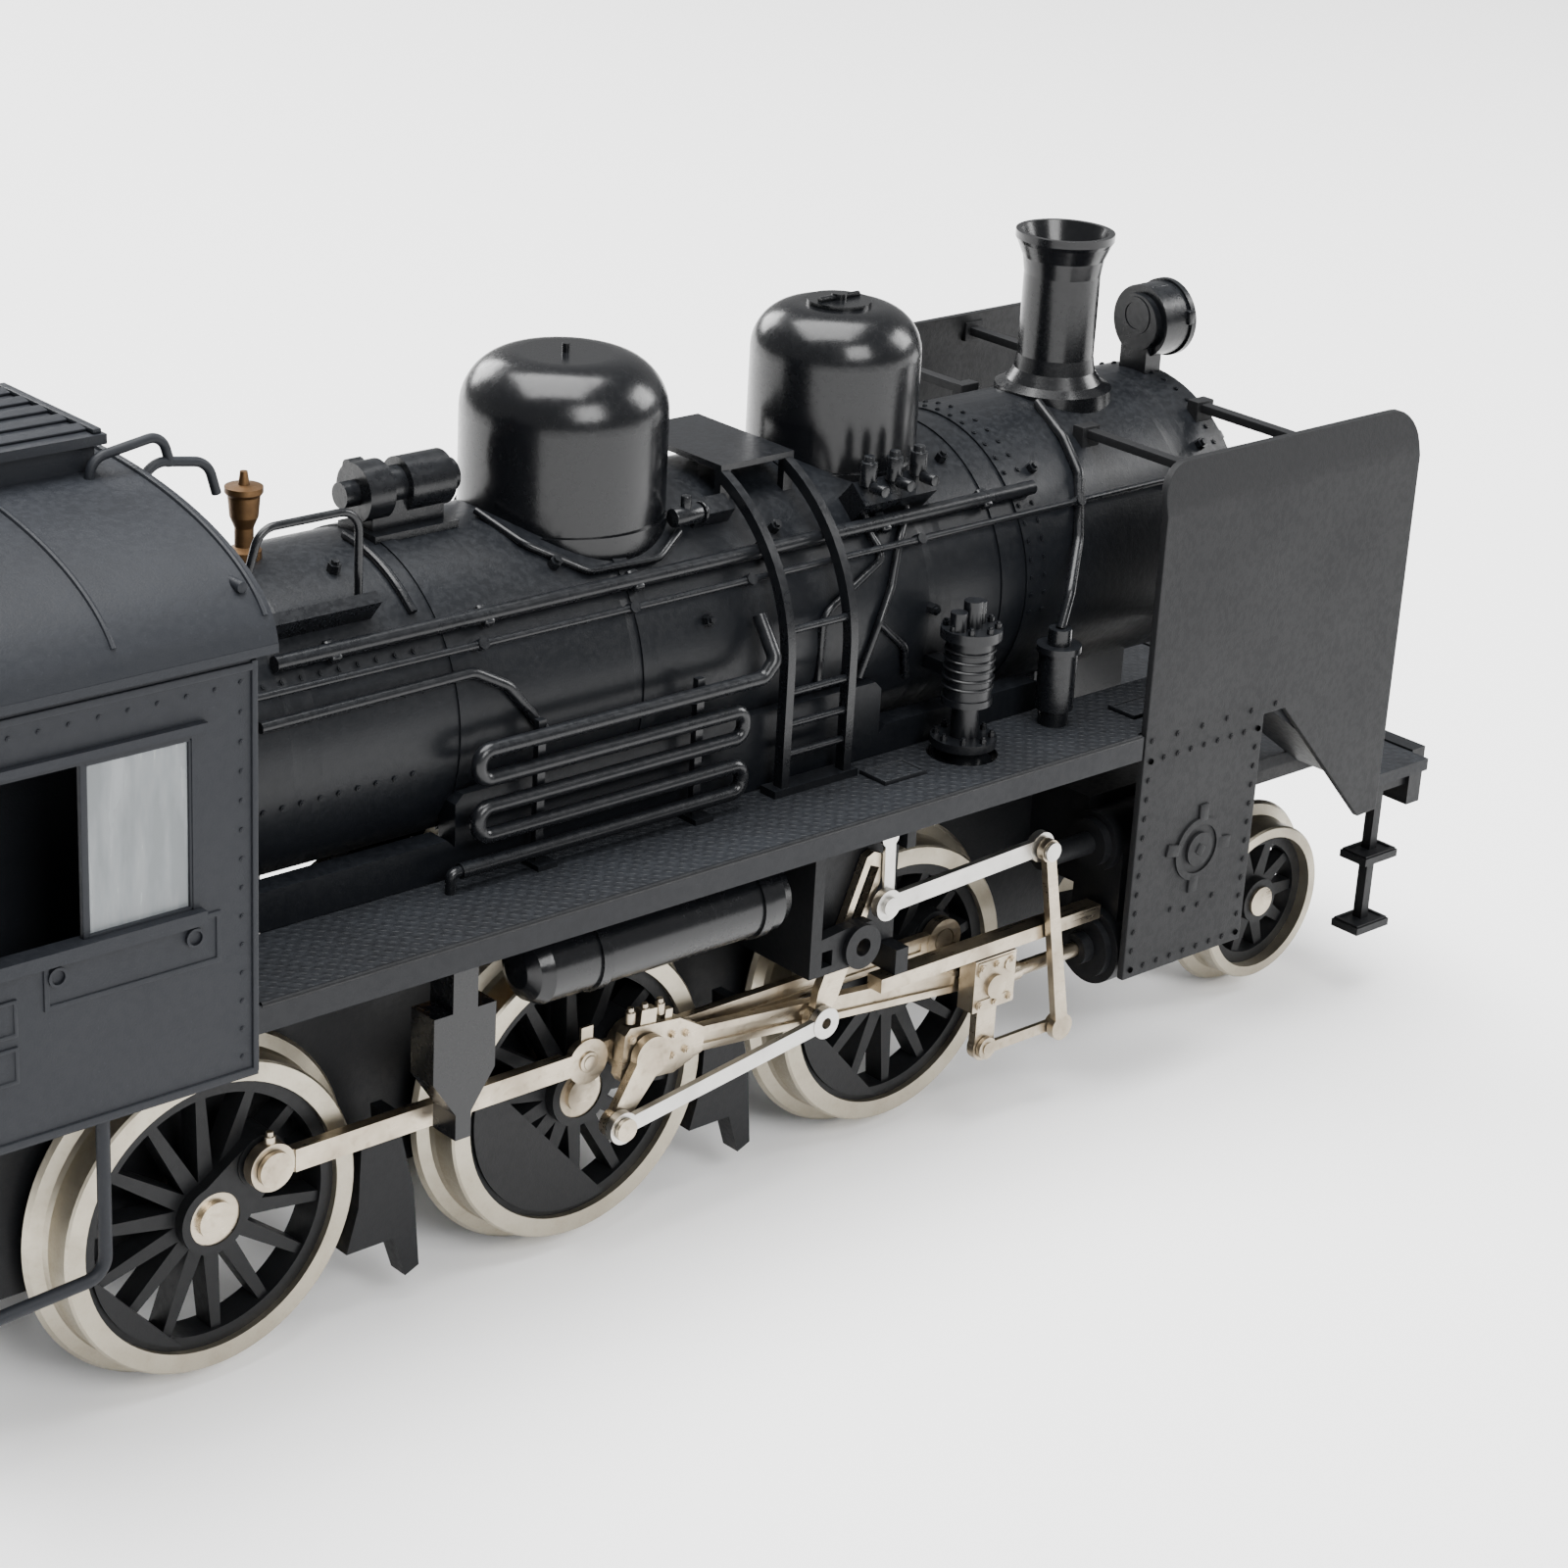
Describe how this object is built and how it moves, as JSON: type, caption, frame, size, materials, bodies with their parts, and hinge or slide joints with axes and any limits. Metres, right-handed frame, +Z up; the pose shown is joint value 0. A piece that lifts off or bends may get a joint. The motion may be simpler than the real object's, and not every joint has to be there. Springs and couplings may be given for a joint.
{
  "type": "model steam locomotive",
  "caption": "Powered scale steam locomotive with coupled drivers, outside valve gear, a swinging leading axle, smoke deflectors and a closed cab.",
  "frame": {"origin": "middle of the engine's length and width, at the bottom of its wheel flanges", "axes": "+X forward to the buffer beam, +Y to the left-hand side looking forward, +Z up"},
  "size_m": [0.122, 0.0332, 0.0509],
  "materials": {
    "black_frame": "satin black paint",
    "boiler_black": "satin black paint with a blue-grey sheen",
    "plate_grey": "matte dark grey paint",
    "wheel_black": "matte black casting",
    "nickel": "polished nickel-plated steel",
    "rod_steel": "bright steel",
    "brass": "aged brass",
    "steel": "turned steel",
    "motor_steel": "plated steel",
    "gear_plastic": "acetal",
    "lens": "clear",
    "pane": "pale tinted clear plastic"
  },
  "bodies": {
    "engine": {"chassis_frame": "black_frame", "keeper_plate": "black_frame", "frame_screws": "steel", "motor_case": "motor_steel", "cylinder_block": "black_frame", "slide_bars": "nickel", "motion_brackets": "black_frame", "boiler_shell": "boiler_black", "smokebox_door": "boiler_black", "chimney": "boiler_black", "rear_dome": "boiler_black", "front_dome": "boiler_black", "boiler_ladder": "boiler_black", "turbo_generator": "boiler_black", "whistle": "brass", "air_compressor": "boiler_black", "boiler_handrails": "boiler_black", "boiler_pipework": "boiler_black", "cooling_pipe": "boiler_black", "running_board": "boiler_black", "buffer_beam": "black_frame", "smoke_deflectors": "plate_grey", "headlight": "boiler_black", "headlight_lens": "lens", "cab_roof": "boiler_black", "cab_body": "plate_grey", "cab_windows": "pane", "air_tanks": "black_frame"},
    "main_wheelset": {"main_wheel_centres": "wheel_black", "main_tyres": "nickel", "main_axle": "steel", "axle_gear": "gear_plastic", "return_cranks": "nickel"},
    "rear_wheelset": {"rear_wheel_centres": "wheel_black", "rear_tyres": "nickel", "rear_axle": "steel"},
    "front_wheelset": {"front_wheel_centres": "wheel_black", "front_tyres": "nickel", "front_axle": "steel"},
    "idler": {"idler_gear": "gear_plastic"},
    "armature": {"armature": "brass"},
    "truck": {"truck_frame": "black_frame"},
    "truck_wheelset": {"truck_wheel_centres": "wheel_black", "truck_tyres": "nickel", "truck_axle": "steel"},
    "drawbar": {"drawbar": "black_frame"},
    "coupling_rods_right": {"coupling_rods_right": "nickel"},
    "main_rod_right": {"main_rod_right": "nickel"},
    "eccentric_rod_right": {"eccentric_rod_right": "rod_steel"},
    "crosshead_right": {"crosshead_right": "nickel"},
    "lever_right": {"combination_lever_right": "nickel"},
    "link_right": {"expansion_link_right": "nickel"},
    "radius_right": {"radius_rod_right": "rod_steel"},
    "coupling_rods_left": {"coupling_rods_left": "nickel"},
    "main_rod_left": {"main_rod_left": "nickel"},
    "eccentric_rod_left": {"eccentric_rod_left": "rod_steel"},
    "crosshead_left": {"crosshead_left": "nickel"},
    "lever_left": {"combination_lever_left": "nickel"},
    "link_left": {"expansion_link_left": "nickel"},
    "radius_left": {"radius_rod_left": "rod_steel"}
  },
  "joints": [
    {"name": "main_spin", "type": "hinge", "parent": "engine", "child": "main_wheelset", "pos_m": [-0.0101, 0, 0.00975], "axis": [0, 1, 0], "continuous": true},
    {"name": "rear_spin", "type": "hinge", "parent": "engine", "child": "rear_wheelset", "pos_m": [-0.034, 0, 0.00975], "axis": [0, 1, 0], "continuous": true},
    {"name": "front_spin", "type": "hinge", "parent": "engine", "child": "front_wheelset", "pos_m": [0.0138, 0, 0.00975], "axis": [0, 1, 0], "continuous": true},
    {"name": "idler_spin", "type": "hinge", "parent": "engine", "child": "idler", "pos_m": [-0.0101, 0, 0.02015], "axis": [0, 1, 0], "continuous": true},
    {"name": "armature_spin", "type": "hinge", "parent": "engine", "child": "armature", "pos_m": [-0.0101, 0, 0.02615], "axis": [1, 0, 0], "continuous": true},
    {"name": "coupling_rods_right_turn", "type": "hinge", "parent": "main_wheelset", "child": "coupling_rods_right", "pos_m": [-0.00728, -0.0108, 0.01229], "axis": [0, 1, 0], "continuous": true},
    {"name": "main_rod_right_turn", "type": "hinge", "parent": "main_wheelset", "child": "main_rod_right", "pos_m": [-0.00728, -0.01175, 0.01229], "axis": [0, 1, 0], "continuous": true},
    {"name": "eccentric_rod_right_turn", "type": "hinge", "parent": "main_wheelset", "child": "eccentric_rod_right", "pos_m": [-0.00974, -0.01325, 0.00887], "axis": [0, 1, 0], "continuous": true},
    {"name": "crosshead_right_slide", "type": "slide", "parent": "engine", "child": "crosshead_right", "axis": [1, 0, 0], "range_m": [-0.0065, 0.0011]},
    {"name": "lever_right_swing", "type": "hinge", "parent": "engine", "child": "lever_right", "pos_m": [0.0219, -0.014, 0.0179], "axis": [0, 1, 0], "range_deg": [-5.3, 30.3]},
    {"name": "link_right_swing", "type": "hinge", "parent": "engine", "child": "link_right", "pos_m": [0.007, -0.01257, 0.0156], "axis": [0, 1, 0], "range_deg": [-6.9, 15.1]},
    {"name": "radius_right_lift", "type": "hinge", "parent": "engine", "child": "radius_right", "pos_m": [0.0219, -0.0133, 0.0179], "axis": [0, 1, 0], "range_deg": [-8, 0]},
    {"name": "coupling_rods_left_turn", "type": "hinge", "parent": "main_wheelset", "child": "coupling_rods_left", "pos_m": [-0.01264, 0.0108, 0.01257], "axis": [0, 1, 0], "continuous": true},
    {"name": "main_rod_left_turn", "type": "hinge", "parent": "main_wheelset", "child": "main_rod_left", "pos_m": [-0.01264, 0.01175, 0.01257], "axis": [0, 1, 0], "continuous": true},
    {"name": "eccentric_rod_left_turn", "type": "hinge", "parent": "main_wheelset", "child": "eccentric_rod_left", "pos_m": [-0.00922, 0.01325, 0.01011], "axis": [0, 1, 0], "continuous": true},
    {"name": "crosshead_left_slide", "type": "slide", "parent": "engine", "child": "crosshead_left", "axis": [1, 0, 0], "range_m": [-0.0011, 0.0065]},
    {"name": "lever_left_swing", "type": "hinge", "parent": "engine", "child": "lever_left", "pos_m": [0.0219, 0.014, 0.0179], "axis": [0, 1, 0], "range_deg": [-30.3, 5.3]},
    {"name": "link_left_swing", "type": "hinge", "parent": "engine", "child": "link_left", "pos_m": [0.007, 0.01257, 0.0156], "axis": [0, 1, 0], "range_deg": [-1, 21.2]},
    {"name": "radius_left_lift", "type": "hinge", "parent": "engine", "child": "radius_left", "pos_m": [0.0219, 0.0133, 0.0179], "axis": [0, 1, 0], "range_deg": [-8, 0]},
    {"name": "truck_swing", "type": "hinge", "parent": "engine", "child": "truck", "pos_m": [0.02695, 0, 0.0063], "axis": [0, 0, 1], "range_deg": [-4, 4]},
    {"name": "truck_spin", "type": "hinge", "parent": "truck", "child": "truck_wheelset", "pos_m": [0.0475, 0, 0.0063], "axis": [0, 1, 0], "continuous": true},
    {"name": "drawbar_swing", "type": "hinge", "parent": "engine", "child": "drawbar", "pos_m": [-0.0515, 0, 0.0122], "axis": [0, 0, 1], "range_deg": [-15, 15]}
  ],
  "couplings": [
    {"joint": "rear_spin", "follows": "main_spin", "ratio": 1},
    {"joint": "front_spin", "follows": "main_spin", "ratio": 1},
    {"joint": "idler_spin", "follows": "main_spin", "ratio": -1.6},
    {"joint": "armature_spin", "follows": "main_spin", "ratio": 32},
    {"joint": "coupling_rods_right_turn", "follows": "main_spin", "ratio": -1},
    {"joint": "main_rod_right_turn", "follows": "main_spin", "ratio": -1},
    {"joint": "eccentric_rod_right_turn", "follows": "main_spin", "ratio": -1},
    {"joint": "lever_right_swing", "follows": "crosshead_right_slide", "rad_per_m": -80.972},
    {"joint": "coupling_rods_left_turn", "follows": "main_spin", "ratio": -1},
    {"joint": "main_rod_left_turn", "follows": "main_spin", "ratio": -1},
    {"joint": "eccentric_rod_left_turn", "follows": "main_spin", "ratio": -1},
    {"joint": "lever_left_swing", "follows": "crosshead_left_slide", "rad_per_m": -80.972}
  ]
}
